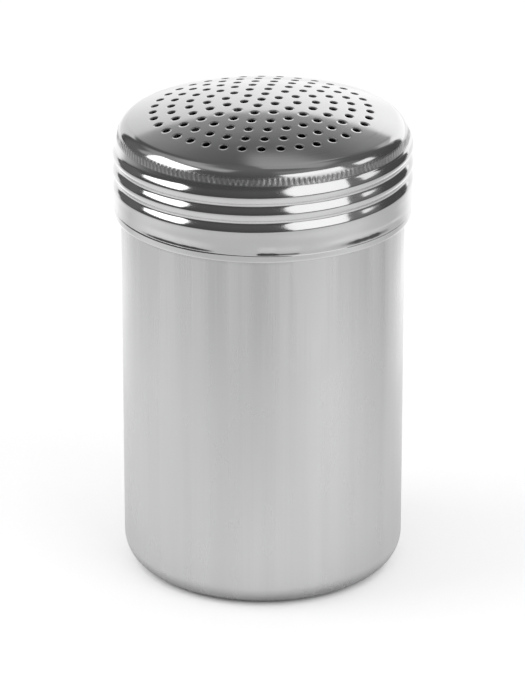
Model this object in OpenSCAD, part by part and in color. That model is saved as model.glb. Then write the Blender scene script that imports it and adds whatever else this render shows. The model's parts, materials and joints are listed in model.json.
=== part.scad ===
// Screw-top shaker in thin stainless steel, in millimetres.
// A deep-drawn cup with a rolled thread at its neck, a pressed cap with a
// perforated dome that screws over it, and a thin ring that seals the two.
// The cup stands on Z = 0, its axis is Z, and its front faces -Y.

/* [Sheet] */
// Thickness of the steel sheet
sheet = 0.5; // [0.4:0.05:0.6]

/* [Cup] */
// Outer diameter of the cup
cup_d = 68; // [60:1:90]
// Height of the cup to the top of its curled rim
cup_h = 109.1; // [80:0.1:150]
// Outer radius of the rounded edge between wall and base
base_edge_r = 6.8; // [4:0.2:9]
// Width of the flat ring that the cup stands on
foot_w = 4.2; // [2:0.1:8]
// How far the base panel inside that ring is pressed up
panel_rise = 1.2; // [0.6:0.1:2]
// Width of the slope around the base panel
panel_slope = 1.6; // [1:0.1:2.5]
// Diameter of the curl that closes the raw edge of the mouth
rim_curl_d = 1.8; // [1.4:0.1:2.4]
// Plain neck between the cup's thread and the middle of that curl
neck_plain_h = 2; // [1.5:0.1:3]

/* [Cap] */
// How far the cap reaches down over the cup, from the top of the rim
cap_cover = 19.1; // [18:0.1:22]
// Gap between the cup wall and the inside of the cap's skirt
skirt_gap = 0.9; // [0.9:0.05:1.2]
// How much smaller the radius of the cap is at its rim than at its skirt
shoulder_step = 0.7; // [0.4:0.05:0.75]
// Tilt of the shoulder between the rim and the highest crest, in degrees
shoulder_tilt = 13; // [8:0.5:18]
// Radius of the sphere that the dome is part of
dome_r = 107; // [85:1:160]
// Outer radius of the rounded edge between dome and rim
dome_edge_r = 4; // [3.6:0.1:5]
// Height of the folded hem at the bottom edge of the cap
hem_h = 1.7; // [1.2:0.1:2.4]
// How far the folded hem stands out from the skirt
hem_out = 0.25; // [0.2:0.05:0.5]

/* [Screw thread] */
// Height that the cap climbs in one turn
thread_pitch = 4.2; // [3.6:0.1:5]
// Depth of the thread rolled into the cap, from crest to valley
cap_thread_depth = 1.1; // [0.8:0.05:1.2]
// Part of that depth that stands out from the skirt, the rest is rolled inwards
crest_share = 0.45; // [0.4:0.05:0.6]
// Number of crests on the cap, one above another
cap_crests = 3; // [2:1:3]
// Depth of the thread rolled out of the cup wall
cup_thread_depth = 0.7; // [0.5:0.05:0.7]
// How narrow the valleys are, from 0 for an even wave to 1 for sharp creases
valley_crease = 0.8; // [0:0.1:1]
// Height of the plain skirt between the hem and the thread
skirt_plain_h = 3.3; // [2:0.1:4]
// Height over which a thread swells out of the plain wall
thread_ease = 2; // [1.5:0.1:3]
// Height of the lowest crest at the front, above the bottom edge of the cap
crest_lift = 7.8; // [7:0.1:8.4]

/* [Sieve] */
// Diameter of one hole
hole_d = 2; // [1:0.1:2.6]
// Distance between two rings of holes
hole_pitch = 4.3; // [3.6:0.1:4.5]
// Number of rings around the hole in the middle
ring_count = 6; // [1:1:6]
// Number of holes in the innermost ring, and the number each ring adds
ring_step = 6; // [4:1:7]
// Turn of each ring after the ring outside it, in parts of its own spacing
ring_lag = 0.16; // [0:0.01:0.5]

/* [Sealing ring] */
// Width of the ring, from its inside to its outside
seal_w = 2.6; // [2:0.1:4]
// Thickness of the ring
seal_t = 1.6; // [1:0.1:2.2]
// Clearance of the ring to the rim below it and to the cap around it
seal_gap = 0.2; // [0.1:0.05:0.3]

/* [Hidden] */

// Facets of round surfaces, of one turn of a thread and of one pitch of it
$fn = 96;
turn_steps = 48;
pitch_steps = 8;
// How far a cut runs past the face that it opens
cut = 1;
// A threaded wall reaches this far into its plain neighbours, and is thinner
// there by this much on each face, so that the two join inside the sheet
lap = 0.5;
lap_inset = sheet / 5;
// Height over which the cap's shoulder meets its plain rim
rim_ease = 0.8;
// Angles from the front between which both ends of the cap's thread fade out
fade_start = 130;
fade_end = 190;

// Cup
cup_r = cup_d / 2;
edge_centre_x = cup_r - base_edge_r;
panel_r = edge_centre_x - foot_w;
curl_r = rim_curl_d / 2;
curl_z = cup_h - curl_r;

// Sealing ring, on the rim of the cup
seal_r = cup_r - 2 * seal_gap;
seal_z = cup_h + seal_gap;
seal_top_z = seal_z + seal_t;

// Cap, from its bottom edge up
cap_z = cup_h - cap_cover;
skirt_r = cup_r + skirt_gap + sheet;
hem_r = skirt_r + hem_out;
skirt_top_z = cap_z + hem_h + skirt_plain_h;
top_r = skirt_r - shoulder_step;

// Dome: its rounded edge clears the top of the sealing ring, and its sphere
// runs smoothly into that edge
corner_x = top_r - dome_edge_r;
corner_z = seal_top_z - sqrt(pow(dome_edge_r - sheet - seal_gap, 2) - pow(seal_r - corner_x, 2));
dome_z = corner_z - sqrt(pow(dome_r - dome_edge_r, 2) - pow(corner_x, 2));

// Threads: the cap's ends under its rim, and the cup's under its plain neck
crest_z = cap_z + crest_lift;
cap_thread_top_z = corner_z - lap;
cup_thread_top_z = curl_z - neck_plain_h;

// Smooth step from 0 at a to 1 at b
function ease(a, b, x) =
    let (t = max(0, min(1, (x - a) / (b - a))))
    t * t * (3 - 2 * t);

// How far the thread of a wall from low to high has swollen at z, from 0 to 1
function swell(low, high, z) =
    ease(low + lap, low + lap + thread_ease, z)
    * (1 - ease(high - lap - thread_ease, high - lap, z));

// Height of the lowest crest on the screw line shared by both threads, at an
// angle from the front
function crest_at(turn) = crest_z + thread_pitch * turn / 360;

// One pitch of thread: 1 on the crest at 0 degrees and -1 in the valley at 180
function bead(t) = (1 - valley_crease) * cos(t) + valley_crease * (2 * abs(cos(t / 2)) - 1);

// Outer radius of the cap's wall with its lowest crest at a given height: out
// of the skirt, over the crests, then up the shoulder
function cap_r(z, first) =
    let (turns = (z - first) / thread_pitch,
         crest_r = skirt_r + crest_share * cap_thread_depth,
         thread = crest_r - cap_thread_depth / 2 * (1 - bead(360 * min(turns, cap_crests - 0.5))),
         shoulder = top_r + (corner_z - z) * tan(shoulder_tilt))
    turns < 0 ? skirt_r + (crest_r - skirt_r) * ease(-crest_share, 0, turns)
    : turns < cap_crests - 1 ? thread
    : max(thread, min(crest_r, shoulder));

// Outer radius of the cap's wall. Behind the cap the highest crest runs out
// into the shoulder and the lowest one swells out of the skirt
cap_wall = function(angle, z)
    let (turn = angle + 90 > fade_end ? angle - 270 : angle + 90,
         fade = ease(fade_start, fade_end, turn),
         r = (1 - fade) * cap_r(z, crest_at(turn)) + fade * cap_r(z, crest_at(turn - 360)),
         swollen_r = skirt_r + (r - skirt_r) * ease(skirt_top_z + lap, skirt_top_z + lap + thread_ease, z))
    swollen_r + (top_r - swollen_r) * ease(cap_thread_top_z - lap - rim_ease, cap_thread_top_z - lap, z);

// Outer radius of the cup's wall, whose thread is rolled outwards only
cup_wall = function(angle, z)
    cup_r + cup_thread_depth / 2 * swell(skirt_top_z, cup_thread_top_z, z)
        * (1 + bead(360 * (z - crest_at(angle + 90)) / thread_pitch));

// Sheet wall between two heights, whose outer radius is a function of angle
// and height. Its faces run from [face, row, step] = [0, 0, 0], where face 0
// is the outside and face 1 is the inside.
module threaded_wall(low, high, outer_r) {
    spans = ceil((high - low) / thread_pitch * pitch_steps);
    heights = concat(low - lap, [for (row = [0 : spans])
        low + lap + (high - low - 2 * lap) * row / spans], high + lap);
    last = len(heights) - 1;

    // The inside is drawn around its circle, so that it never cuts into it
    function wall_r(face, row, angle) =
        let (inset = row == 0 || row == last ? lap_inset : 0)
        face == 0
            ? outer_r(angle, heights[row]) - inset
            : (outer_r(angle, heights[row]) - sheet + inset) / cos(180 / turn_steps);

    points = [for (face = [0, 1], row = [0 : last], step = [0 : turn_steps - 1])
        let (angle = 360 * step / turn_steps, r = wall_r(face, row, angle))
        [r * cos(angle), r * sin(angle), heights[row]]];

    function at(face, row, step) = (face * (last + 1) + row) * turn_steps + step % turn_steps;
    function strip(from, to, step) =
        [[from[step], to[step], to[step + 1]], [from[step], to[step + 1], from[step + 1]]];
    function ring(face, row) = [for (step = [0 : turn_steps]) at(face, row, step)];

    // Up the outside, over the top, down the inside and back below
    rings = concat([for (row = [0 : last]) ring(0, row)], [for (row = [last : -1 : 0]) ring(1, row)]);
    polyhedron(points, [for (i = [0 : len(rings) - 1], step = [0 : turn_steps - 1])
        each strip(rings[i], rings[(i + 1) % len(rings)], step)]);
}

// Half section of the pressed-up base panel, grown by the sheet for its inside
module panel_section(grow) {
    polygon([
        [0, -cut],
        [panel_r + grow / 2, -cut],
        [panel_r + grow / 2, grow],
        [panel_r + grow / 2 - panel_slope, panel_rise + grow],
        [0, panel_rise + grow]
    ]);
}

// Half section of the whole cup as if it were solid, shrunk by inset
module cup_section(inset) {
    translate([edge_centre_x, base_edge_r]) circle(base_edge_r - inset);
    translate([0, inset]) square([edge_centre_x, base_edge_r]);
    translate([0, base_edge_r]) square([cup_r - inset, skirt_top_z - base_edge_r]);
}

// Drawn cup: base with its pressed panel, wall, rolled thread and curled rim
module shaker_body() color("silver") {
    rotate_extrude() difference() {
        cup_section(0);
        panel_section(0);
        difference() {
            union() {
                cup_section(sheet);
                translate([0, skirt_top_z - cut]) square([cup_r - sheet, 2 * cut]);
            }
            panel_section(sheet);
        }
    }
    threaded_wall(skirt_top_z, cup_thread_top_z, cup_wall);
    rotate_extrude() {
        translate([cup_r - sheet, cup_thread_top_z]) square([sheet, curl_z - cup_thread_top_z]);
        translate([cup_r - curl_r, curl_z]) circle(curl_r);
    }
}

// Thin loose ring that keeps fine powder out of the thread
module sealing_ring() color("white") {
    rotate_extrude() translate([seal_r - seal_w, seal_z]) square([seal_w, seal_t]);
}

// Half section of the top of the cap as if it were solid, shrunk by inset
module dome_section(inset) {
    tangent_x = (dome_r - inset) * corner_x / (dome_r - dome_edge_r);
    intersection() {
        translate([0, dome_z]) circle(dome_r - inset);
        translate([0, corner_z]) square([tangent_x, dome_r]);
    }
    intersection() {
        translate([corner_x, corner_z]) circle(dome_edge_r - inset);
        translate([corner_x, corner_z]) square(dome_edge_r);
    }
    translate([0, cap_thread_top_z]) square([top_r - inset, corner_z - cap_thread_top_z]);
}

// Punch for the holes: rings around the middle, square to the dome
module sieve_holes() {
    translate([0, 0, dome_z]) {
        for (k = [0 : ring_count])
            for (i = [0 : max(1, ring_step * k) - 1])
                rotate([0, asin(k * hole_pitch / dome_r),
                        360 / max(1, ring_step * k) * (i + (ring_count - k) * ring_lag) - 90])
                    translate([0, 0, dome_r - sheet - cut])
                        cylinder(d = hole_d, h = sheet + 2 * cut);
    }
}

// Half section of the plain skirt with the hem folded up around its bottom edge
module skirt_section() {
    hem_t = hem_r - skirt_r + sheet;
    translate([skirt_r - sheet, cap_z + hem_t / 2]) square([sheet, skirt_top_z - cap_z - hem_t / 2]);
    translate([skirt_r - sheet, cap_z + hem_t / 2]) square([hem_t, hem_h - hem_t / 2 - hem_out / 2]);
    translate([hem_r - hem_t / 2, cap_z + hem_t / 2]) circle(hem_t / 2);
    translate([hem_r - hem_out / 2, cap_z + hem_h - hem_out / 2]) circle(hem_out / 2);
    translate([skirt_r - sheet, cap_z + hem_h - hem_out / 2]) square([sheet + hem_out / 2, hem_out / 2]);
}

// Pressed cap: perforated dome, rim, rolled thread, skirt and hem
module screw_cap() color("gainsboro") {
    difference() {
        rotate_extrude() difference() {
            dome_section(0);
            dome_section(sheet);
            translate([0, cap_thread_top_z - cut]) square([top_r - sheet, 2 * cut]);
        }
        sieve_holes();
    }
    threaded_wall(skirt_top_z, cap_thread_top_z, cap_wall);
    rotate_extrude() skirt_section();
}

shaker_body();
sealing_ring();
screw_cap();
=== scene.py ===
# %% [markdown]
# # A screw-top shaker in bright steel
# A shaker like this one is made of three things: a cup drawn from one disc of
# stainless steel, a cap pressed from another, and a thin ring of silicone that
# seals the two. The exact solids of all three already exist, so this notebook
# loads them as a fixed frame and dresses them: finer meshes of the same pieces,
# two finishes of steel, and a small studio. The CAD meshes could be kept and
# only coloured, but polished metal shows every facet, so each piece is drawn
# again here with far more points, inside the box of the solids.
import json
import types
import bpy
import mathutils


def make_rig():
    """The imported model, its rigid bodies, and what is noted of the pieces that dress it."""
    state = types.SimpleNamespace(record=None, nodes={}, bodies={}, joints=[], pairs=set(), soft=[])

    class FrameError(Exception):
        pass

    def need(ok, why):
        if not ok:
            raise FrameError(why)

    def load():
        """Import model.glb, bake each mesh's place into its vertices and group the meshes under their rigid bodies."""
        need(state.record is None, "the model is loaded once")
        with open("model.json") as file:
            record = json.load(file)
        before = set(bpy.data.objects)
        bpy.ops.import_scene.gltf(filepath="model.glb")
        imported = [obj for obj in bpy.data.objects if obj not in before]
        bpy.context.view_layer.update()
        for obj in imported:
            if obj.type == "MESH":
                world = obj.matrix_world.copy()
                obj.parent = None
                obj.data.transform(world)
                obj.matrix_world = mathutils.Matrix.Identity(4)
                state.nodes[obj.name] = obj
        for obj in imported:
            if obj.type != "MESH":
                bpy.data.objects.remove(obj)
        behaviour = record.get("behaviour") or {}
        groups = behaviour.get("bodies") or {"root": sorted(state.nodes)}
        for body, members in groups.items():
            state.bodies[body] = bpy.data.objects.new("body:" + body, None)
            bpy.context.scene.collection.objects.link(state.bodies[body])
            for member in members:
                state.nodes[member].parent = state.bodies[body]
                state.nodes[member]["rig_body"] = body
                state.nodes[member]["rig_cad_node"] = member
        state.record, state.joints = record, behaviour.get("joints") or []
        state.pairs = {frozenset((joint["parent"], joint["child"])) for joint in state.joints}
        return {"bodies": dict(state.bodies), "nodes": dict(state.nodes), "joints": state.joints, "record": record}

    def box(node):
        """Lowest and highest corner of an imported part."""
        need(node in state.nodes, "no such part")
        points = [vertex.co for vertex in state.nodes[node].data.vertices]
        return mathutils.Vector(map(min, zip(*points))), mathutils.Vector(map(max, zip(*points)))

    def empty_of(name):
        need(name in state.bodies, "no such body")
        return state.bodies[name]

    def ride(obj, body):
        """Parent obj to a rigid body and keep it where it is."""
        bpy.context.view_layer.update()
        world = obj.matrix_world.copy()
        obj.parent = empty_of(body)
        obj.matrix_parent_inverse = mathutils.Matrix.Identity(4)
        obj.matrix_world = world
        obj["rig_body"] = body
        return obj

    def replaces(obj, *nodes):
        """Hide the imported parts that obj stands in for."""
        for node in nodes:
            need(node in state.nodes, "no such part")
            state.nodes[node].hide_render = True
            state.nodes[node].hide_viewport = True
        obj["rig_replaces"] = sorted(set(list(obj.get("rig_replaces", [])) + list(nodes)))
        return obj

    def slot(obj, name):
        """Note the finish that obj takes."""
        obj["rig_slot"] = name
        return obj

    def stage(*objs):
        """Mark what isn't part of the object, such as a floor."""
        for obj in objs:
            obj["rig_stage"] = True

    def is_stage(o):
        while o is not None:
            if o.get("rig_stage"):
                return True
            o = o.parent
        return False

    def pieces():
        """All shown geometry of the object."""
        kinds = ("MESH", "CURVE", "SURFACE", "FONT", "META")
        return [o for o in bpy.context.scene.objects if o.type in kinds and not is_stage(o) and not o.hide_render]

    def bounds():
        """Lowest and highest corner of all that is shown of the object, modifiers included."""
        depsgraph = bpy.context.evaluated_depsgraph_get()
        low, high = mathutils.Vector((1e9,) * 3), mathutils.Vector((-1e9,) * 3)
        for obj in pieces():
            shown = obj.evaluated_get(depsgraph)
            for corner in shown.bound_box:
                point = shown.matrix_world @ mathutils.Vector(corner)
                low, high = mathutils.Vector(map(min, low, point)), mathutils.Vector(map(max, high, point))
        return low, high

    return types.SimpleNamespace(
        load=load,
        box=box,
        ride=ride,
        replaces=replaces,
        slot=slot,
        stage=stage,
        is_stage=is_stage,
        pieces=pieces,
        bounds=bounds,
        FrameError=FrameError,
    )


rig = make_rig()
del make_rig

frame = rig.load()
cad_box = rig.bounds()

import json
import math

import bpy
import bmesh
import numpy as np
from mathutils import Vector, noise
from mathutils.geometry import delaunay_2d_cdt

for node_name in sorted(frame["nodes"]):
    low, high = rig.box(node_name)
    print(node_name, "stands from", round(low.z * 1000, 1), "to", round(high.z * 1000, 1), "mm")

# %% [markdown]
# ## The camera
# Product pictures of round tins are taken from far off with a long lens, so
# that the rims stay nearly parallel ellipses. A short lens close by could show
# the same height and width, but it would bend the rims. The camera therefore
# stands more than a metre away and looks down by 22.6 degrees.

# %% Set up the camera
SENSOR_MM, LENS_MM = 36, 310.3
CAMERA_PLACE = (-0.0001, -1.0135, 0.4755)
LOOKS_DOWN = 22.6

scene = bpy.context.scene
camera = bpy.data.objects.new("long_lens", bpy.data.cameras.new("long_lens"))
scene.collection.objects.link(camera)
camera.data.sensor_fit = "HORIZONTAL"
camera.data.sensor_width = SENSOR_MM
camera.data.lens = LENS_MM
camera.location = CAMERA_PLACE
camera.rotation_euler = (math.radians(90 - LOOKS_DOWN), 0, 0)
scene.camera = camera
print("the camera is", round(camera.location.length, 2), "m away and looks down by",
      LOOKS_DOWN, "degrees")

# %% [markdown]
# ## Rings and shells
# Every piece here is turned, drawn or rolled around one axis. Blender could
# spin a curve for that, but a spun curve can't carry a thread, which changes
# its radius as it goes round. So a piece is built from rings of points: each
# ring may have one radius or one radius per point, and a shell joins each ring
# to the next. Where a band needs finer detail, its rings have a whole number
# of times more points, and the shell fans out to meet them.

# %% Rings of points around the axis, in millimetres
MM = 0.001
TEETH = 172
COARSE, HALF, PLAIN, FINE = TEETH // 4, TEETH, 2 * TEETH, 8 * TEETH


def turn(columns):
    """The angles of the points of one ring."""
    return np.arange(columns) / columns * 2 * np.pi


def ring(radius, height, columns=PLAIN):
    """One ring of points. The radius and height may differ from point to point."""
    angle = turn(columns)
    radius = np.broadcast_to(radius, angle.shape)
    height = np.broadcast_to(height, angle.shape)
    return np.stack([radius * np.cos(angle), radius * np.sin(angle), height], 1)


def arc(centre, radius, start, end, steps):
    """Points (radius, height) of a profile on an arc, in degrees from outward to up."""
    angles = np.radians(np.linspace(start, end, steps + 1))
    return [(centre[0] + radius * math.cos(a), centre[1] + radius * math.sin(a)) for a in angles]


print("a ring has", COARSE, "or", HALF, "or", PLAIN, "or", FINE, "points")


# %% A shell that joins the rings
class Shell:
    """Points and faces of one piece of sheet, gathered ring by ring."""

    def __init__(self):
        self.points, self.faces, self.normals = [], [], {}

    def add(self, points):
        """Adds points and returns their numbers."""
        first = len(self.points)
        self.points.extend(tuple(p) for p in points)
        return list(range(first, len(self.points)))

    def join(self, one, other):
        """Joins two loops of points, of which one may have several times more than the other."""
        few, many = sorted((one, other), key=len)
        times = len(many) // len(few)
        for i, corner in enumerate(few):
            span = [many[(i * times + k) % len(many)] for k in range(times, -1, -1)]
            self.faces.append((corner, few[(i + 1) % len(few)], *span))

    def follow(self, rings, start=None):
        """Adds rings one after another and returns the point numbers of the last."""
        for points in rings:
            numbers = self.add(points)
            if start is not None:
                self.join(start, numbers)
            start = numbers
        return start

    def fan(self, numbers, tip):
        """Closes a loop with triangles that meet at one point."""
        top = self.add([tip])[0]
        for i, corner in enumerate(numbers):
            self.faces.append((corner, numbers[(i + 1) % len(numbers)], top))


print("a shell can", ", ".join(name for name in vars(Shell) if name[0] != "_"))

# %% From a shell to a Blender object
SHARP_FROM = math.radians(38)


def make(shell, name):
    """Turns a shell into a smooth-shaded Blender object, in metres."""
    mesh = bpy.data.meshes.new(name)
    mesh.from_pydata((np.array(shell.points) * MM).tolist(), [], shell.faces)
    work = bmesh.new()
    work.from_mesh(mesh)
    bmesh.ops.recalc_face_normals(work, faces=work.faces)
    loose = [e for e in work.edges if len(e.link_faces) != 2]
    work.to_mesh(mesh)
    work.free()
    mesh.shade_smooth()
    mesh.set_sharp_from_angle(angle=SHARP_FROM)
    if shell.normals:
        known = np.zeros((len(mesh.vertices), 3))
        for number, direction in shell.normals.items():
            known[number] = direction
        mesh.normals_split_custom_set_from_vertices(known.tolist())
    piece = bpy.data.objects.new(name, mesh)
    scene.collection.objects.link(piece)
    print(name, len(mesh.vertices), "points,", len(mesh.polygons), "faces,",
          len(loose), "open edges")
    return piece


print("edges sharper than", round(math.degrees(SHARP_FROM)), "degrees stay crisp")

# %% [markdown]
# ## The screw thread
# A thin cap has no cut thread. A wheel rolls one wave into the wall of the cap
# and a matching wave into the neck of the cup, and the two waves hook into each
# other. The wave isn't a sine: its crests are round, its flanks are straight,
# and its valleys are narrow creases. Blender's screw modifier could wind such a
# profile, but both ends have to fade into plain wall. So one function gives the
# wave for both pieces: how far the wall lies within a crest, by the number of
# turns from the lowest crest.

# %% The wave of the thread
PITCH, CREST_Z, CRESTS = 4.2, 97.8, 3
FLANK, BEND, CREASE = 0.63, 0.40, 0.03
SWELL_FROM_Z, SWELL_IN = 95.5, 2.0


def ease(start, end, x):
    """A smooth step from 0 at start to 1 at end."""
    t = np.clip((x - start) / (end - start), 0, 1)
    return t * t * (3 - 2 * t)


def crest_at(way):
    """Height of the lowest crest at a bearing, in degrees from the front."""
    return CREST_Z + PITCH * way / 360


def flank(off):
    """Depth within a crest, by the height above or below it: a bend, then a straight slope."""
    return np.sqrt(BEND ** 2 + (FLANK * off) ** 2) - BEND


def below_crest(turns):
    """The same round every crest, with a narrow crease where two slopes meet."""
    off = PITCH * np.abs((turns + 0.5) % 1 - 0.5)
    return flank(PITCH / 2 - np.sqrt((PITCH / 2 - off) ** 2 + CREASE))


def swelling(z):
    """How far the thread has grown out of the plain wall: 0 below it, 1 at full depth."""
    return ease(SWELL_FROM_Z, SWELL_FROM_Z + SWELL_IN, z)


print("the thread climbs", PITCH, "mm a turn and is", round(float(below_crest(0.5)), 2), "mm deep")

# %% [markdown]
# ## The cup
# The cup is deep-drawn: a punch pushes a flat disc through a ring, and the disc
# becomes a wall and a base in one piece. The base is pressed up in its middle
# so that the cup stands on a ring and doesn't rock, and the raw edge of the
# mouth is curled inwards so that it can't cut. A cylinder with a solidify
# modifier would give the wall, but not these ends. One shell follows the sheet
# from the middle of the base, out, up, over the curl and back down the inside.

# %% Measures of the cup
SHEET = 0.5
CUP_R, CUP_H, CURL_R, CURL_TURN = 34.0, 109.1, 0.9, 290
BASE_EDGE_R, PANEL_R, PANEL_RISE = 6.8, 23.0, 1.2
NECK_LOW_Z, NECK_HIGH_Z, NECK_PLAIN, NECK_STEP = 95.0, 106.2, 0.5, 0.28
CUP_THREAD_DEPTH = 0.7
CURL_Z = CUP_H - CURL_R
PANEL_RADII = (1.5, 6, 14, *np.linspace(20.4, 23.6, 15), 25.5)
neck_rows = np.arange(NECK_LOW_Z, NECK_HIGH_Z + 0.1, NECK_STEP)


def base_height(radius):
    """Underside of the base: a pressed-up panel with a soft slope around it."""
    return PANEL_RISE * (1 - ease(PANEL_R - 1.9, PANEL_R + 0.2, radius))


def cup_wall(angle, z):
    """Outer radius of the neck, whose thread fades out at both ends."""
    ends = ease(NECK_HIGH_Z - NECK_PLAIN - SWELL_IN, NECK_HIGH_Z - NECK_PLAIN, z)
    turns = (z - crest_at(np.degrees(angle) + 90)) / PITCH
    wave = np.maximum(0, 1 - below_crest(turns))
    return CUP_R + CUP_THREAD_DEPTH * swelling(z) * (1 - ends) * wave


print("the cup is", 2 * CUP_R, "mm wide and", CUP_H, "mm high")


# %% The rings of the base
def base_columns(radius, inside):
    """Few points near the middle, where the panel is flat, and many at the edge."""
    if radius < 7:
        return COARSE
    return HALF if radius < 15 or inside else PLAIN


def base_rings(lift, inset):
    """Rings from the middle of the base to the wall, lifted by the sheet for the inside."""
    edge_x = CUP_R - BASE_EDGE_R
    panel = [(r, base_height(r - inset) + lift) for r in PANEL_RADII]
    edge = arc((edge_x, BASE_EDGE_R), BASE_EDGE_R - lift, -90, 0, 22)
    return [ring(r, z, base_columns(r, lift > 0)) for r, z in panel + edge]


print("the base stands on a ring", round(CUP_R - BASE_EDGE_R - PANEL_R, 1), "mm wide")


# %% Draw the cup
def cup_outside():
    """Rings of the base, the wall, the neck and the curl."""
    rings = base_rings(0, 0)
    rings += [ring(CUP_R, z) for z in (14, 26, 40, 54, 68, 80, 90, 93)]
    rings += [ring(cup_wall(turn(PLAIN), z), z) for z in neck_rows]
    curl = arc((CUP_R - CURL_R, CURL_Z), CURL_R, 0, CURL_TURN, 22)
    return rings + [ring(r, z) for r, z in [(CUP_R, CURL_Z - CURL_R)] + curl]


def cup_inside():
    """Rings from under the curl down to the middle of the base."""
    rings = [ring(CUP_R - SHEET, z, HALF) for z in (CURL_Z - 0.92, NECK_HIGH_Z)]
    rings += [ring(cup_wall(turn(HALF), z) - SHEET, z, HALF) for z in neck_rows[::-1]]
    rings += [ring(CUP_R - SHEET, z, HALF) for z in (90, 68, 40, 14)]
    return rings + base_rings(SHEET, 0.2)[::-1]


def draw_cup():
    cup = Shell()
    outer = cup.follow(cup_outside())
    inner = cup.follow(cup_inside(), outer)
    innermost_below = list(range(COARSE))
    cup.fan(innermost_below, (0, 0, base_height(0)))
    cup.fan(inner, (0, 0, base_height(0) + SHEET))
    return make(cup, "drawn_cup")


drawn_cup = draw_cup()

# %% [markdown]
# ## The knurled rim of the cap
# From the dome downwards the cap has a rounded edge, a band of fine upright
# teeth for wet fingers, a slope, three turns of thread, a plain skirt and a
# hem. The teeth are pressed in by a knurling wheel, and its pressure is never
# quite even, so every tooth gets its own depth. A bump map could fake them, but
# they break up the bright reflections along this edge, which only real shape
# does from every side.

# %% The teeth
TOP_R, TOOTH_DEPTH = 34.7, 0.15
TEETH_LOW, TEETH_HIGH, TEETH_EASE = 108.9, 111.0, 0.9
tooth_depths = np.array([0.7 + 1.0 * noise.noise(Vector((k * 0.43, 4.2, 0)))
                         for k in range(TEETH)])


def teeth(angle, z):
    """How deep the knurling wheel has pressed the rim, or how far metal has risen beside it."""
    place = (angle / (2 * np.pi) * TEETH + 0.5) % TEETH
    depth = tooth_depths[place.astype(int) % TEETH]
    rise = ease(TEETH_LOW, TEETH_LOW + TEETH_EASE, z)
    band = rise * (1 - ease(TEETH_HIGH - TEETH_EASE, TEETH_HIGH, z))
    return TOOTH_DEPTH * depth * band * -0.5 * np.cos(TEETH * angle)


tooth_width = 2 * math.pi * TOP_R / TEETH
print("the knurled band has", TEETH, "teeth, one every", round(tooth_width, 2), "mm")

# %% [markdown]
# ## The wall of the cap
# Below the teeth a short cone widens to the thread, and below the lowest crest
# the wall turns into the skirt. A thread that simply ended would leave a step,
# so the wheel is let in and drawn off slowly: over a sixth of a turn at the
# back, one end fades into the other. Radii could be stored row by row, but one
# formula of bearing and height keeps every row smooth.

# %% The thread and the cone above it
SKIRT_R, SKIRT_TOP_Z = 35.8, NECK_LOW_Z
CREST_R = SKIRT_R + 0.08
CORNER_X, CORNER_Z, EDGE_R = 30.7, 109.325, 4.0
CONE_SLOPE, CONE_TOP_Z = 0.185, 110.4
JOIN_FROM, JOIN_TO, JOIN_SOFT = CRESTS - 0.9, CRESTS - 0.75, 0.006
TAPER_TURNS = 1.1
FADE_START, FADE_END = 130, 190


def cone_radius(z):
    """The cone that leads from the teeth down to the thread and ends at its crests."""
    top = CORNER_X + EDGE_R * math.cos(math.asin((CONE_TOP_Z - CORNER_Z) / EDGE_R))
    return np.minimum(top + CONE_SLOPE * (CONE_TOP_Z - z), CREST_R - 0.02)


def threaded(z, first):
    """Radius of the wall whose lowest crest is at the height first."""
    turns = (z - first) / PITCH
    over = turns - (CRESTS - 1)
    thread = CREST_R - np.where(over > 0, flank(PITCH * over), below_crest(turns))
    cone = cone_radius(z)
    joined = 0.5 * (thread + cone + np.sqrt((thread - cone) ** 2 + JOIN_SOFT))
    share = ease(JOIN_FROM, JOIN_TO, turns)
    wall = thread * (1 - share) + joined * share
    taper = SKIRT_R + (CREST_R - SKIRT_R) * np.clip(1 + turns / TAPER_TURNS, 0, 1)
    return np.where(turns < 0, taper, wall)


def cap_wall(angle, z):
    """Outer radius of the cap between its skirt and its teeth."""
    way = np.degrees(angle) + 90
    way = np.where(way > FADE_END, way - 360, way)
    fade = ease(FADE_START, FADE_END, way)
    wall = (1 - fade) * threaded(z, crest_at(way)) + fade * threaded(z, crest_at(way - 360))
    return SKIRT_R + (wall - SKIRT_R) * swelling(z)


print("the lowest crest is", CREST_Z, "mm up at the front and", round(2 * CREST_R, 2), "mm wide")

# %% [markdown]
# ## The sieve
# The dome is part of a large sphere, and its holes stand in rings around the
# middle one. Each ring starts a little later than the ring outside it, which
# gives the slow swirl. A boolean could punch the holes, but it leaves long thin
# triangles that flicker in polished metal. Here every hole brings its own
# circles of points: the punched lip that rolls in, the hole's wall, and the
# open sheet around it. A triangulation then fills only the sheet between the
# holes, and the exact slope of the dome is given to every point.

# %% Where the holes are
DOME_R, DOME_Z = 107.0, 11.007
HOLE_R, RING_GAP, RINGS, RING_LAG = 1.0, 4.3, 6, 0.16
OFF_CENTRE, SIEVE_R = 0.35, 28.2


def hole_axes():
    """Unit directions from the middle of the sphere through each hole."""
    for k in range(RINGS + 1):
        count = max(1, 6 * k)
        tilt = math.asin(k * RING_GAP / DOME_R)
        for i in range(count):
            way = 2 * math.pi / count * (i + (RINGS - k) * RING_LAG) - math.pi / 2
            across = math.sin(tilt) * math.cos(way) - OFF_CENTRE / DOME_R
            along = math.sin(tilt) * math.sin(way)
            yield np.array([across, along, math.sqrt(1 - across ** 2 - along ** 2)])


print("the sieve has", len(list(hole_axes())), "holes")

# %% Circles of one hole, from the open sheet down to its wall
HOLE_POINTS, LIP_R, OPEN_R, CLEAR_R = 24, 0.035, 2.05, 1.5
lip = [(HOLE_R + LIP_R * (1 - math.cos(a)), LIP_R * (1 - math.sin(a)), math.pi / 2 - a)
       for a in np.radians((75, 45, 15, 0))]
hole_steps = [(OPEN_R, 0.0, 0.0), (CLEAR_R, 0.0, 0.0)] + lip


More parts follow.
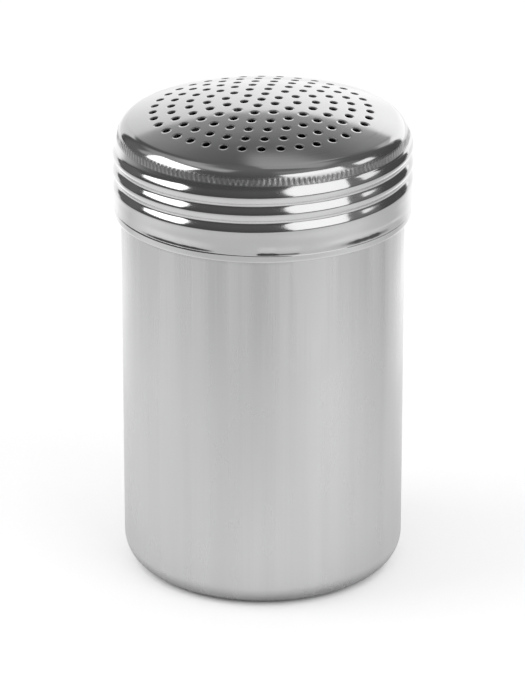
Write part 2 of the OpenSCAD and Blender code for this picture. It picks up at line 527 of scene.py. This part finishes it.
def hole_circle(axis, reach, sink, lean):
    """Points and slopes of one circle around a hole, sunk into the dome, leaning into the hole."""
    side = np.cross((0, 1, 0), axis)
    side /= np.linalg.norm(side)
    up = np.cross(axis, side)
    angle = turn(HOLE_POINTS)[:, None]
    outward = side * np.cos(angle) + up * np.sin(angle)
    spot = axis * math.sqrt(DOME_R ** 2 - reach ** 2) + outward * reach
    radial = spot / DOME_R
    points = radial * (DOME_R - sink) + (0, 0, DOME_Z)
    inward = -(outward - radial * (outward * radial).sum(1)[:, None])
    return points, radial * math.cos(lean) + inward * math.sin(lean)


print("each hole has", len(hole_steps), "circles, its lip is", LIP_R, "mm round")


# %% Punch the holes
def punch(cap):
    """Adds the circles of every hole. Returns the outermost above and below the sheet."""
    above, below = [], []
    for axis in hole_axes():
        before = None
        for reach, sink, lean in hole_steps:
            points, slopes = hole_circle(axis, reach, sink, lean)
            numbers = cap.add(points)
            cap.normals.update(zip(numbers, slopes))
            if before:
                cap.join(before, numbers)
            else:
                above.append(numbers)
            before = numbers
        for reach in (HOLE_R, OPEN_R):
            numbers = cap.add(hole_circle(axis, reach, SHEET, 0)[0])
            cap.join(before, numbers)
            before = numbers
        below.append(before)
    return above, below


def fill_sheet(cap, rim, inner_rim, above, below):
    """Fills the sheet between the holes: flat from above, lifted by its own points."""
    loops = [rim] + above
    order = [n for loop in loops for n in loop]
    edges, first = [], 0
    for loop in loops:
        edges += [(first + i, first + (i + 1) % len(loop)) for i in range(len(loop))]
        first += len(loop)
    flat = [Vector(cap.points[n][:2]) for n in order]
    triangles, originals = delaunay_2d_cdt(flat, edges, [], 1, 1e-7)[2:4]
    hole_of = {n: h for h, loop in enumerate(above) for n in loop}
    twin = {a: b for one, two in zip(above, below) for a, b in zip(one, two)}
    twin.update({n: inner_rim[i * HALF // PLAIN] for i, n in enumerate(rim)})
    for triangle in triangles:
        corners = [order[originals[v][0]] for v in triangle]
        if len({hole_of.get(n, -1 - n) for n in corners}) == 1:
            continue
        cap.faces.append(tuple(corners))
        under = list(dict.fromkeys(twin[n] for n in corners))
        if len(under) == 3:
            cap.faces.append(tuple(reversed(under)))


print("between two holes", round(RING_GAP - 2 * HOLE_R, 1), "mm of sheet are left")

# %% [markdown]
# ## The hem
# The bottom edge of the cap is folded in, and a roller presses the fold flat.
# That leaves a bright lip, and a crease above it where the skirt is drawn in by
# a tenth or two of a millimetre. The work is fed by hand, so in a few places
# the crease is deeper or wider, and those places catch the dark of the room. An
# even groove could be turned like the rest, but it would look machined.

# %% Dents of the roller above the hem
CAP_Z, HEM_R, HEM_TOP_Z, HEM_FOLD_R = 90.0, 35.76, 91.95, 0.5
DRAWN_IN = 0.02
# Each dent: depth in mm, then bearing, full width and flat width in degrees
FRONT_DENTS = ((0.10, -88.5, 8, 5), (0.08, -84, 18, 14))
SIDE_DENTS = ((0.24, -44, 50, 6), (0.15, -126, 44, 16))
BACK_DENTS = ((0.15, 60, 40, 5), (0.2, 150, 50, 10))


def near(angle, middle, width, core):
    """1 in the core of a stretch of the rim and 0 outside it, all in degrees."""
    off = np.abs((np.degrees(angle) - middle + 180) % 360 - 180)
    return 1 - ease(core / 2, width / 2, off)


def pinch(angle):
    """How far the skirt is drawn in above the hem."""
    dents = [depth * near(angle, *stretch)
             for depth, *stretch in FRONT_DENTS + SIDE_DENTS + BACK_DENTS]
    wobble = np.array([0.9 + 0.5 * noise.noise(Vector((math.degrees(a) * 0.9, 7.7, 0)))
                       for a in angle])
    return wobble * sum(dents) + DRAWN_IN


print("the deepest dent is", round(float(pinch(turn(PLAIN)).max()), 2), "mm")

# %% The rings of the hem
CREASE_HEIGHTS = (2.6, 2.3, 2.0, 1.8, 1.6, 1.4, 1.2, 1.05, 0.9, 0.75, 0.6, 0.45, 0.3, 0.15, 0.05)
CREASE_RISE, LIP_SLOPE = 0.35, 0.28
# Least, extra, then bearing, full width and flat width of the extra in degrees
WAIST, LIP_TALL = (0.8, 0.8, -44, 60, 26), (0.10, 0.26, -150, 110, 60)
# Two rings close to each end of the lip keep its shading flat
LIP_SHARES = (0, 0.08, 0.5, 0.92, 1)


def around(angle, least, extra, *stretch):
    """A measure that grows along one stretch of the rim."""
    return least + extra * near(angle, *stretch)


def hem_rings():
    """Rings from the skirt down into the crease, over the lip, round the fold and up inside."""
    angle = turn(PLAIN)
    # The crease climbs a little towards the left
    crease_z = HEM_TOP_Z + CREASE_RISE * ease(-0.3, 1, -np.cos(angle))
    drawn_in = pinch(angle)
    waist, lip_tall = around(angle, *WAIST), around(angle, *LIP_TALL)
    rings = []
    for up in CREASE_HEIGHTS:
        share = ease(0, 1, up / waist) * (1 - ease(1, CREASE_HEIGHTS[0] / waist, up / waist))
        rings.append(ring(SKIRT_R - drawn_in * share, crease_z + up))
    rings += [ring(SKIRT_R - 0.14, crease_z - 0.02),
              ring(HEM_R - 0.01 - LIP_SLOPE * lip_tall, crease_z - 0.025)]
    rings += [ring(HEM_R - LIP_SLOPE * (1 - down) * lip_tall, crease_z - 0.035 - down * lip_tall)
              for down in LIP_SHARES]
    rings += [ring(HEM_R, crease_z - gap - lip_tall) for gap in (0.07, 0.15)]
    fold = arc((HEM_R - HEM_FOLD_R, CAP_Z + HEM_FOLD_R + 0.14), HEM_FOLD_R, 0, -180, 14)
    return rings + [ring(r, z) for r, z in [(HEM_R, CAP_Z + 1.0)] + fold]


print("the hem has", len(hem_rings()), "rings")

# %% [markdown]
# ## Pressing the cap
# With the sieve, the rim, the thread and the hem described, the cap is put
# together as one shell: out from the holes, over the edge, down the outside,
# round the hem, up the inside and back to the holes from below. Separate parts
# that touch would be easier, but light would leak between them.

# %% Profiles of the outside and the inside
TANGENT = math.degrees(math.acos(CORNER_X / (DOME_R - EDGE_R)))
SIEVE_EDGE = math.degrees(math.acos(SIEVE_R / DOME_R))
INNER_CONE = 20


def dome_profile():
    """Points from the edge of the sieve to the top of the teeth."""
    teeth_top = math.degrees(math.asin((TEETH_HIGH - CORNER_Z) / EDGE_R))
    ball = arc((0, DOME_Z), DOME_R, SIEVE_EDGE, TANGENT, 7)[1:]
    return ball + arc((CORNER_X, CORNER_Z), EDGE_R, TANGENT, teeth_top, 16)[1:]


def rim_radius(z):
    """Smooth radius under the teeth: the rounded edge first, then the cone."""
    edge = CORNER_X + math.sqrt(EDGE_R ** 2 - max(0, z - CORNER_Z) ** 2)
    return edge if z > CONE_TOP_Z else cone_radius(z)


def inner_rings():
    """Rings up the inside of the cap, a sheet's thickness within the outside."""
    angle = turn(HALF)
    rings = [ring(SKIRT_R - SHEET, z, HALF) for z in (91.5, 93.0)]
    for z in np.arange(SKIRT_TOP_Z, CORNER_Z, 0.4):
        wall = np.minimum(cap_wall(angle, z), TOP_R + INNER_CONE * (CORNER_Z - z))
        rings.append(ring(wall - SHEET, z, HALF))
    edge = arc((CORNER_X, CORNER_Z), EDGE_R - SHEET, 0, TANGENT, 14)
    ball = arc((0, DOME_Z), DOME_R - SHEET, TANGENT, SIEVE_EDGE, 5)[1:]
    return rings + [ring(r, z, HALF) for r, z in edge + ball]


print("the dome meets the rounded edge", round(90 - TANGENT, 1), "degrees off level")

# %% Press the cap
TOOTH_STEP, TOOTH_ROWS, WALL_STEP = 0.15, 15, 0.28


def press_cap():
    cap = Shell()
    rim = cap.add(ring(SIEVE_R, DOME_Z + math.sqrt(DOME_R ** 2 - SIEVE_R ** 2)))
    above, below = punch(cap)
    tooth_rows = TEETH_HIGH - TOOTH_STEP * np.arange(1, TOOTH_ROWS + 1)
    wall_rows = np.arange(tooth_rows[-1] - 0.2, SKIRT_TOP_Z, -WALL_STEP)
    outside = [ring(r, z) for r, z in dome_profile()]
    outside += [ring(rim_radius(z) - teeth(turn(FINE), z), z, FINE) for z in tooth_rows]
    outside += [ring(cap_wall(turn(PLAIN), z), z) for z in wall_rows]
    outer_end = cap.follow(outside + hem_rings(), rim)
    inner_rim = cap.follow(inner_rings(), outer_end)
    fill_sheet(cap, rim, inner_rim, above, below)
    middle = np.array((0, 0, DOME_Z))
    for n in rim:
        cap.normals[n] = (np.array(cap.points[n]) - middle) / DOME_R
    return make(cap, "pressed_cap")


pressed_cap = press_cap()

# %% [markdown]
# ## The sealing ring
# The ring between the two is moulded silicone: soft, matt and slightly milky.
# It needs no thread, only rounded edges and two shallow grooves above and
# below, so that its ribs give way when the cap is screwed down. A torus has a
# round section and would roll; this one is a closed profile led round the axis.

# %% Mould the sealing ring
SEAL_IN, SEAL_OUT, SEAL_LOW, SEAL_HIGH = 31.0, 33.6, 109.3, 110.9
SEAL_CORNER, GROOVE_DEPTH, GROOVE_MARGIN, GROOVE_GAP = 0.35, 0.16, 0.5, 1.6


def groove(x):
    """Depth of the two grooves, by the radius."""
    return GROOVE_DEPTH * math.sin(2 * math.pi * (x - SEAL_IN - GROOVE_MARGIN) / GROOVE_GAP) ** 2


def seal_section():
    """Closed profile of the ring: four rounded corners, grooves above and below."""
    right, left = SEAL_OUT - SEAL_CORNER, SEAL_IN + SEAL_CORNER
    low, high = SEAL_LOW + SEAL_CORNER, SEAL_HIGH - SEAL_CORNER
    across = np.linspace(SEAL_OUT - GROOVE_MARGIN, SEAL_IN + GROOVE_MARGIN, 21)
    points = arc((right, low), SEAL_CORNER, -90, 0, 5)
    points += arc((right, high), SEAL_CORNER, 0, 90, 5)
    points += [(x, SEAL_HIGH - groove(x)) for x in across]
    points += arc((left, high), SEAL_CORNER, 90, 180, 5)
    points += arc((left, low), SEAL_CORNER, 180, 270, 5)
    return points + [(x, SEAL_LOW + groove(x)) for x in across[::-1]]


def mould_seal():
    seal = Shell()
    loops = [seal.add(ring(r, z, HALF)) for r, z in seal_section()]
    for one, other in zip(loops, loops[1:] + loops[:1]):
        seal.join(one, other)
    return make(seal, "moulded_seal")


moulded_seal = mould_seal()

# %% [markdown]
# ## Two finishes of one steel
# Both pieces are the same stainless steel. The cup keeps the satin skin that
# drawing gives it, with long upright lines that the tool left in the wall; the
# cap is polished on a spinning wheel, so its faint marks run round. A plain
# metal shader with one roughness would look like plastic foil. What makes it
# steel is that the lines change the roughness and tilt the surface by a hair,
# so each finish gets its own noise, stretched the way its tool moved. Wiring
# nodes takes many lines, so two small classes do it first.

# %% Wiring numbers
class Wiring:
    """Adds nodes to one tree. Each method returns the output of the node that it adds."""

    def __init__(self, tree):
        self.nodes, self.links = tree.nodes, tree.links

    def read(self, kind, output):
        """An output of a node that needs no input, such as a coordinate."""
        return self.nodes.new(kind).outputs[output]

    def axes(self, vector):
        """The X, Y and Z of a vector."""
        node = self.nodes.new("ShaderNodeSeparateXYZ")
        self.links.new(vector, node.inputs["Vector"])
        return [node.outputs[axis] for axis in "XYZ"]

    def maths(self, operation, *values):
        """One sum. Each value is a number or another node's output."""
        node = self.nodes.new("ShaderNodeMath")
        node.operation = operation
        for socket, value in zip(node.inputs, values):
            if isinstance(value, (int, float)):
                socket.default_value = value
            else:
                self.links.new(value, socket)
        return node.outputs["Value"]

    def plus(self, one, other):
        return self.maths("ADD", one, other)

    def minus(self, one, other):
        return self.maths("SUBTRACT", one, other)

    def times(self, one, other):
        return self.maths("MULTIPLY", one, other)

    def reach(self, x, y):
        """Distance of a place from the axis."""
        return self.maths("SQRT", self.plus(self.times(x, x), self.times(y, y)))

    def spread(self, value, low, high, start=0.3, end=0.7, kind="LINEAR"):
        """Maps start to end onto low to high. The defaults are the useful middle of a noise."""
        node = self.nodes.new("ShaderNodeMapRange")
        node.interpolation_type = kind
        numbers = {"From Min": start, "From Max": end, "To Min": low, "To Max": high}
        for name, number in numbers.items():
            node.inputs[name].default_value = number
        self.links.new(value, node.inputs["Value"])
        return node.outputs["Result"]


print("a wiring can", ", ".join(name for name in vars(Wiring) if name[0] != "_"))


# %% Wiring a finish
class Finish(Wiring):
    """Wiring of a material: noise, colour and relief, and the sockets of its shader."""

    def __init__(self, name):
        self.material = bpy.data.materials.new(name)
        self.material.use_nodes = True
        super().__init__(self.material.node_tree)
        self.sockets = self.nodes["Principled BSDF"].inputs

    def lead(self, output, socket):
        """Links an output to a socket of the shader."""
        self.links.new(output, self.sockets[socket])

    def stretched_noise(self, vector, stretch, detail, name):
        """Noise drawn out along the axes where stretch is small (repeats per metre)."""
        mapping = self.nodes.new("ShaderNodeMapping")
        mapping.inputs["Scale"].default_value = stretch
        texture = self.nodes.new("ShaderNodeTexNoise")
        texture.name = name
        texture.inputs["Scale"].default_value = 1
        texture.inputs["Detail"].default_value = detail
        self.links.new(vector, mapping.inputs["Vector"])
        self.links.new(mapping.outputs["Vector"], texture.inputs["Vector"])
        return texture.outputs["Fac"]

    def shade(self, value, dark, light):
        """A colour between two others."""
        node = self.nodes.new("ShaderNodeMix")
        node.data_type = "RGBA"
        node.inputs["A"].default_value = (*dark, 1)
        node.inputs["B"].default_value = (*light, 1)
        self.links.new(value, node.inputs["Factor"])
        return node.outputs["Result"]

    def relief(self, height, distance, strength, under=None):
        """Tilts the surface by a height, on top of another relief if there is one."""
        node = self.nodes.new("ShaderNodeBump")
        node.inputs["Distance"].default_value = distance
        node.inputs["Strength"].default_value = strength
        self.links.new(height, node.inputs["Height"])
        if under is not None:
            self.links.new(under, node.inputs["Normal"])
        return node.outputs["Normal"]

    def done(self):
        """The finished material."""
        print(self.material.name, "has", len(self.nodes), "nodes")
        return self.material


print("a finish can also", ", ".join(name for name in vars(Finish) if name[0] != "_"))

# %% Satin steel of the drawn cup
STREAK_Z, STREAK_STRENGTH = (0.060, 0.090), (0.7, 3.0)
WORN_AND_SHADE_Z, WORN_AND_SHADE_MOST = (0.0888, 0.0899), 0.6
LINE_SHARE, BAND_SHARE = 0.2, 0.8
SATIN_DARK, SATIN_LIGHT = (0.30, 0.30, 0.302), (0.68, 0.68, 0.683)


def satin_steel():
    steel = Finish("satin_drawn_steel")
    steel.sockets["Metallic"].default_value = 1
    steel.sockets["Anisotropic"].default_value = 0.5
    place = steel.read("ShaderNodeTexCoord", "Object")
    lines = steel.stretched_noise(place, (2600, 2600, 22), 3, "drawn_lines")
    bands = steel.stretched_noise(place, (170, 170, 6), 2, "drawn_bands")
    cloud = steel.stretched_noise(place, (60, 60, 40), 3, "handling")
    height = steel.axes(place)[2]

    # The streaks grow stronger towards the neck, where the sheet was stretched most
    streaks = steel.plus(steel.times(lines, LINE_SHARE), steel.times(bands, BAND_SHARE))
    strength = steel.spread(height, *STREAK_STRENGTH, *STREAK_Z)
    streaks = steel.plus(0.5, steel.times(strength, steel.minus(streaks, 0.5)))

    # The cap has rubbed the neck dull in patches, and the darkening that starts just under the hem is also painted
    # shade of the hem
    worn_and_shade = steel.times(steel.spread(height, 0, 1, *WORN_AND_SHADE_Z),
                       steel.spread(cloud, 0, WORN_AND_SHADE_MOST, 0.4, 0.6))
    share = steel.minus(steel.spread(streaks, 0.737, 1, 0.25, 0.75), worn_and_shade)
    steel.lead(steel.shade(share, SATIN_DARK, SATIN_LIGHT), "Base Color")
    rough = steel.plus(steel.spread(streaks, 0.24, 0.32), steel.spread(cloud, -0.03, 0.04))
    steel.lead(rough, "Roughness")
    soft = steel.relief(bands, 0.00004, 0.5)
    steel.lead(steel.relief(lines, 0.000003, 0.3, soft), "Normal")
    return steel.done()


satin = satin_steel()

# %% Polished steel of the pressed cap
BAND_LOW_Z, BAND_HIGH_Z = (0.1086, 0.1091), (0.1106, 0.1112)
BAND_DARKER, BAND_ROUGHER, SHEARED_ROUGHER = 0.5, 0.2, 0.55
SIEVE_LIMIT, UPRIGHT = (0.0286, 0.0290), (0.4, 0.75)
POLISHED_DARK, POLISHED_LIGHT = (0.42, 0.42, 0.424), (0.67, 0.67, 0.675)


def polished_steel():
    steel = Finish("polished_pressed_steel")
    steel.sockets["Metallic"].default_value = 1
    place = steel.read("ShaderNodeTexCoord", "Object")
    x, y, z = steel.axes(place)
    radius = steel.reach(x, y)

    # Noise read by radius and height runs round the cap, as the polishing wheel did
    swept = steel.nodes.new("ShaderNodeCombineXYZ")
    for value, socket in zip((radius, z, steel.times(x, 0.01)), swept.inputs):
        steel.links.new(value, socket)
    wheel = steel.stretched_noise(swept.outputs["Vector"], (3200, 3200, 900), 3, "polishing_marks")
    hand = steel.stretched_noise(place, (70, 70, 90), 4, "handling")

    # The wheel doesn't reach between the teeth, so their band stays darker and duller
    band = steel.times(steel.spread(z, 0, 1, *BAND_LOW_Z), steel.spread(z, 1, 0, *BAND_HIGH_Z))
    share = steel.minus(steel.spread(hand, 0.8, 1), steel.times(band, BAND_DARKER))
    steel.lead(steel.shade(share, POLISHED_DARK, POLISHED_LIGHT), "Base Color")
    rough = steel.plus(steel.spread(wheel, 0.07, 0.12), steel.spread(hand, 0, 0.04))
    rough = steel.plus(rough, steel.times(band, BAND_ROUGHER))

    # The walls of the holes are sheared, not polished
    facing = steel.axes(steel.read("ShaderNodeNewGeometry", "Normal"))[2]
    upright = steel.spread(steel.maths("ABSOLUTE", facing), 1, 0, *UPRIGHT)
    sheared = steel.times(upright, steel.spread(radius, 1, 0, *SIEVE_LIMIT))
    rough = steel.plus(rough, steel.times(sheared, SHEARED_ROUGHER))
    steel.lead(rough, "Roughness")
    soft = steel.relief(hand, 0.00003, 0.3)
    steel.lead(steel.relief(wheel, 0.000002, 0.4, soft), "Normal")
    return steel.done()


polished = polished_steel()

# %% Matt silicone of the ring
SILICONE_DARK, SILICONE_LIGHT = (0.66, 0.66, 0.64), (0.78, 0.78, 0.76)


def matt_silicone():
    silicone = Finish("matt_silicone")
    silicone.sockets["IOR"].default_value = 1.41
    silicone.sockets["Subsurface Weight"].default_value = 0.15
    silicone.sockets["Subsurface Radius"].default_value = (0.001, 0.001, 0.0009)
    place = silicone.read("ShaderNodeTexCoord", "Object")
    grain = silicone.stretched_noise(place, (2500, 2500, 2500), 3, "moulding_grain")
    cloud = silicone.stretched_noise(place, (150, 150, 150), 2, "milky_cloud")
    silicone.lead(silicone.shade(cloud, SILICONE_DARK, SILICONE_LIGHT), "Base Color")
    silicone.lead(silicone.spread(grain, 0.5, 0.62), "Roughness")
    silicone.lead(silicone.relief(grain, 0.00002, 0.4), "Normal")
    return silicone.done()


milky = matt_silicone()

# %% [markdown]
# ## Dressing the frame
# Each mesh now takes the place of the solid that it was drawn from. It could be
# parented by hand, but the frame knows which body every solid belongs to, so
# the mesh rides on that body and turns and rises with the cap. The solid stays
# where it is, hidden, and gets the same finish.

# %% Dress the pieces and let them ride on their bodies
for piece, material, node_name, body, slot in (
        (drawn_cup, satin, "shaker_body", "cup", "satin_steel"),
        (pressed_cap, polished, "screw_cap", "cap", "polished_steel"),
        (moulded_seal, milky, "sealing_ring", "seal", "seal_rubber")):
    piece.data.materials.append(material)
    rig.ride(piece, body)
    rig.replaces(piece, node_name)
    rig.slot(piece, slot)
    carried = frame["nodes"][node_name]
    carried.data.materials.clear()
    carried.data.materials.append(material)
    print(piece.name, "stands for", node_name, "and rides on", body)

# %% [markdown]
# ## The floor
# Steel has no colour of its own to show; it shows the room, and most of what
# the wall of a cup shows is the floor. Real paper under softboxes is brightest
# close to the object and behind it, and falls off towards the dark of the room.
# A gradient of lamps could do that, but it would light the object too. So the
# paper keeps one plain colour for the lens, with its shadow and a painted
# contact shadow at its foot, and the falling off is painted only for the rays
# that shiny surfaces send out.

# %% Places on the floor, in metres from the axis
BEHIND_ASIDE, BEHIND_REACH = (-0.11, 0.06), (0.05, 0.14)
REAR_GLOW, REAR_GLOW_REACH = (0.38, 0.76), (0.12, 0.20)
REAR_FALL, REAR_FALL_REACH = 0.28, (0.205, 0.25)
BEYOND_SHARE, BEYOND_REACH = (0.1, 1), (0.45, 0.9)
# Reaches of the painted shade under the object's edge and of the painted halo around it
FOOT_SHADE_REACH, HALO, HALO_REACH = (0.0325, 0.0380), 0.21, (0.06, 0.24)
# The lens glow of the paper, taken away at the foot as a painted contact shadow
LENS_GLOW, LENS_GLOW_REACH = 0.345, (0.0290, 0.0320)
# Soft pools of painted light in front of the softboxes: x, y and level
POOLS = ((0.13, -0.11, 0.20), (-0.17, -0.03, 0.17), (0.26, -0.10, 0.10), (-0.28, 0.06, 0.12))
POOL_REACH = (0.02, 0.16)


def shiny_rays(wire, path):
    """1 for the rays that metal and glass send out."""
    return wire.maths("MAXIMUM", path["Is Glossy Ray"], path["Is Transmission Ray"])


def near_the_foot(wire, x, y, reach):
    """The painted brightness of the paper close to the object, with a painted shade right under its edge."""
    pools = []
    for at_x, at_y, level in POOLS:
        off = wire.reach(wire.minus(x, at_x), wire.minus(y, at_y))
        pools.append(wire.spread(off, level, 0, *POOL_REACH))
    lit = wire.plus(wire.plus(*pools[:2]), wire.plus(*pools[2:]))
    halo = wire.spread(reach, HALO, 0, *HALO_REACH)
    return wire.times(wire.spread(reach, 0, 1, *FOOT_SHADE_REACH), wire.plus(halo, lit))


print("the pools reach", POOL_REACH[1], "m and the room goes dark from", BEYOND_REACH[0], "m")


# %% The paper of the floor
PAPER_PALE, PAPER_PAINTED_DARK = (0.84, 0.84, 0.84), (0.12, 0.12, 0.12)


def pale_paper():
    paper = Finish("pale_floor_paper")
    paper.sockets["Roughness"].default_value = 0.9
    paper.sockets["Specular IOR Level"].default_value = 0.1
    paper.sockets["Emission Color"].default_value = (1, 1, 1, 1)
    path = paper.nodes.new("ShaderNodeLightPath").outputs
    shiny = shiny_rays(paper, path)
    x, y = paper.axes(paper.read("ShaderNodeTexCoord", "Object"))[:2]
    reach = paper.reach(x, y)

    # Behind the object the paper runs on into the white sweep, as a painted glow that only shiny rays see
    aside = paper.minus(y, paper.maths("ABSOLUTE", x))
    behind = paper.times(paper.spread(aside, 0, 1, *BEHIND_ASIDE),
                         paper.times(shiny, paper.spread(reach, 0, 1, *BEHIND_REACH)))
    rear_glow = paper.minus(paper.spread(reach, *REAR_GLOW, *REAR_GLOW_REACH),
                            paper.spread(reach, 0, REAR_FALL, *REAR_FALL_REACH))

    # Far off on the other sides the paper is painted dark for shiny rays, a painted reflection of the dark room
    beyond = paper.times(paper.minus(shiny, behind),
                         paper.spread(reach, *BEYOND_SHARE, *BEYOND_REACH))
    paper.lead(paper.shade(beyond, PAPER_PALE, PAPER_PAINTED_DARK), "Base Color")

    # The lens sees white paper, darkened at the object's foot by its real shade and by a painted contact shadow where
    # the glow is taken away
    seen = paper.times(path["Is Camera Ray"], paper.spread(reach, 0, LENS_GLOW, *LENS_GLOW_REACH))
    close = paper.times(shiny, near_the_foot(paper, x, y, reach))
    glow = paper.plus(seen, paper.plus(paper.times(behind, rear_glow), close))
    paper.lead(glow, "Emission Strength")
    return paper.done()


paper_finish = pale_paper()

# %% Lay the floor
FLOOR_LOW, FLOOR_R = 0.00005, 3


def lay_floor():
    mesh = bpy.data.meshes.new("pale_floor")
    sheet = bmesh.new()
    bmesh.ops.create_circle(sheet, cap_ends=True, segments=96, radius=FLOOR_R)
    bmesh.ops.translate(sheet, verts=sheet.verts, vec=(0, 0, -FLOOR_LOW))
    sheet.to_mesh(mesh)
    sheet.free()
    floor = bpy.data.objects.new("pale_floor", mesh)
    scene.collection.objects.link(floor)
    mesh.materials.append(paper_finish)
    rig.stage(floor)
    print("the floor is", 2 * FLOOR_R, "m across")


lay_floor()

# %% [markdown]
# ## The softboxes
# The long bright bars on the cap are the reflections of two softboxes, one at
# the left and one at the front right, and a small one at the right lifts the
# edge. A point lamp or a sun gives a dot on polished steel; a rectangular area
# light gives the bar. Each is hung by its direction and by how wide and tall it
# looks from the object, which is what a reflection shows.

# %% Hang the softboxes
HANG_AT, AIM_Z = 1.2, 0.09


def heading(azimuth, elevation):
    """Direction from the object: azimuth in degrees from straight behind it to its right."""
    a, e = math.radians(azimuth), math.radians(elevation)
    return Vector((math.sin(a) * math.cos(e), math.cos(a) * math.cos(e), math.sin(e)))


def softbox(name, azimuth, elevation, wide, tall, power):
    """Hangs an area light. Wide and tall are angles in degrees, power is in watts."""
    light = bpy.data.objects.new(name, bpy.data.lights.new(name, "AREA"))
    away = heading(azimuth, elevation)
    light.data.shape = "RECTANGLE"
    light.data.size = 2 * HANG_AT * math.tan(math.radians(wide / 2))
    light.data.size_y = 2 * HANG_AT * math.tan(math.radians(tall / 2))
    light.data.energy = power
    light.location = away * HANG_AT + Vector((0, 0, AIM_Z))
    light.rotation_euler = away.to_track_quat("Z", "Y").to_euler()
    light.visible_camera = False
    scene.collection.objects.link(light)
    print(name, "is", round(light.data.size, 2), "by", round(light.data.size_y, 2), "m")


softbox("left_softbox", -96, 30.5, 38.5, 31, 3.7)
softbox("right_softbox", 136.5, 24, 45, 42, 3.65)
softbox("side_strip", 89, 27, 17, 15, 0.36)

# %% [markdown]
# ## The room
# Above the floor, polished steel shows the rest of the studio: the white sweep
# behind, grey walls, and the ceiling. These could be cards around the object,
# but cards get in the way when someone walks round it. So they are painted into
# the world, where they have a direction and no place, and only shiny surfaces
# see them. The lens sees plain white, and matt surfaces are lit by an even grey.

# %% Painting by direction
EVEN_GREY = 0.66


class Room(Wiring):
    """Paints soft-edged cards of one brightness, by azimuth and height in degrees."""

    def __init__(self, tree):
        super().__init__(tree)
        self.x, self.y, z = self.axes(self.read("ShaderNodeTexCoord", "Generated"))
        self.height = self.times(self.maths("ARCSINE", z), 180 / math.pi)

    def off_centre(self, azimuth):
        """Degrees to the right of an azimuth."""
        c, s = math.cos(math.radians(azimuth)), math.sin(math.radians(azimuth))
        across = self.minus(self.times(self.x, c), self.times(self.y, s))
        along = self.plus(self.times(self.x, s), self.times(self.y, c))
        return self.times(self.maths("ARCTAN2", across, along), 180 / math.pi)

    def inside(self, value, low, high, soft):
        """1 between low and high, with soft ends."""
        rising = self.spread(value, 0, 1, low - soft, low + soft, "SMOOTHSTEP")
        falling = self.spread(value, 1, 0, high - soft, high + soft, "SMOOTHSTEP")
        return self.times(rising, falling)

    def card(self, room, azimuth, wide, low, high, soft, level):
        """Lays a patch of one brightness over the room painted so far."""
        cover = self.times(self.inside(self.off_centre(azimuth), -wide / 2, wide / 2, soft),
                           self.inside(self.height, low, high, soft))
        return self.plus(room, self.times(self.minus(level, room), cover))


print("matt surfaces are lit at", EVEN_GREY, "of full white")


# %% Paint the room into the world
def paint_room():
    world = bpy.data.worlds.new("studio")
    scene.world = world
    world.use_nodes = True
    paint = Room(world.node_tree)

    # All round: dark, and a little lighter towards the ceiling
    room = paint.spread(paint.height, 0.085, 0.165, 20, 80)
    # Grey walls: above the right softbox, beside it, and low at the back left
    room = paint.card(room, 130, 70, 48, 66, 7, 0.26)
    room = paint.card(room, 98, 30, 0, 58, 6, 0.20)
    room = paint.card(room, -57, 30, -5, 30, 5, 0.15)
    # The ceiling, lit by the softboxes: back right, behind, left and back left
    room = paint.card(room, 50, 110, 61, 95, 5, 0.39)
    room = paint.card(room, 12, 32, 49, 66, 3, 0.41)
    room = paint.card(room, -96, 94, 50, 68, 7, 0.46)
    room = paint.card(room, -60, 36, 35, 54, 6, 0.35)
    # The top of the sweep, fading into the dark above it
    room = paint.card(room, 9, 62, 0, 50, 4, paint.spread(paint.height, 0.39, 0.165, 30, 46))
    # Its two lit sides
    room = paint.card(room, 38, 18, 20, 38, 3, 0.55)
    room = paint.card(room, -66, 10, 18, 37, 3, 0.42)
    # The sweep itself, brightest low down and to the right
    sweep = paint.plus(paint.spread(paint.height, 1.14, 0.94, 0, 28),
                       paint.spread(paint.off_centre(0), -0.17, 0.24, -20, 15))
    room = paint.card(room, 4, 75.5, -95, 28, 0.8, sweep)

    path = paint.nodes.new("ShaderNodeLightPath").outputs
    shiny = shiny_rays(paint, path)
    seen = paint.plus(path["Is Camera Ray"], paint.times(shiny, room))
    matt = paint.minus(1, paint.maths("MAXIMUM", path["Is Camera Ray"], shiny))
    background = paint.nodes["Background"]
    paint.links.new(paint.plus(seen, paint.times(matt, EVEN_GREY)), background.inputs["Strength"])
    background.inputs["Color"].default_value = (1, 1, 1, 1)
    print("the room is painted with", len(paint.nodes), "nodes")


paint_room()
scene.view_settings.view_transform = "Standard"

# %% [markdown]
# ## Write the size
# The dressed pieces should stay inside the box of the CAD solids. That could be
# judged by eye; here both boxes are written to a short file.

# %% Write both boxes
json.dump({"cad": [list(map(float, corner)) for corner in cad_box],
           "visual": [list(map(float, corner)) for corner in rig.bounds()]}, open("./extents.json", "w"))
print(open("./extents.json").read())
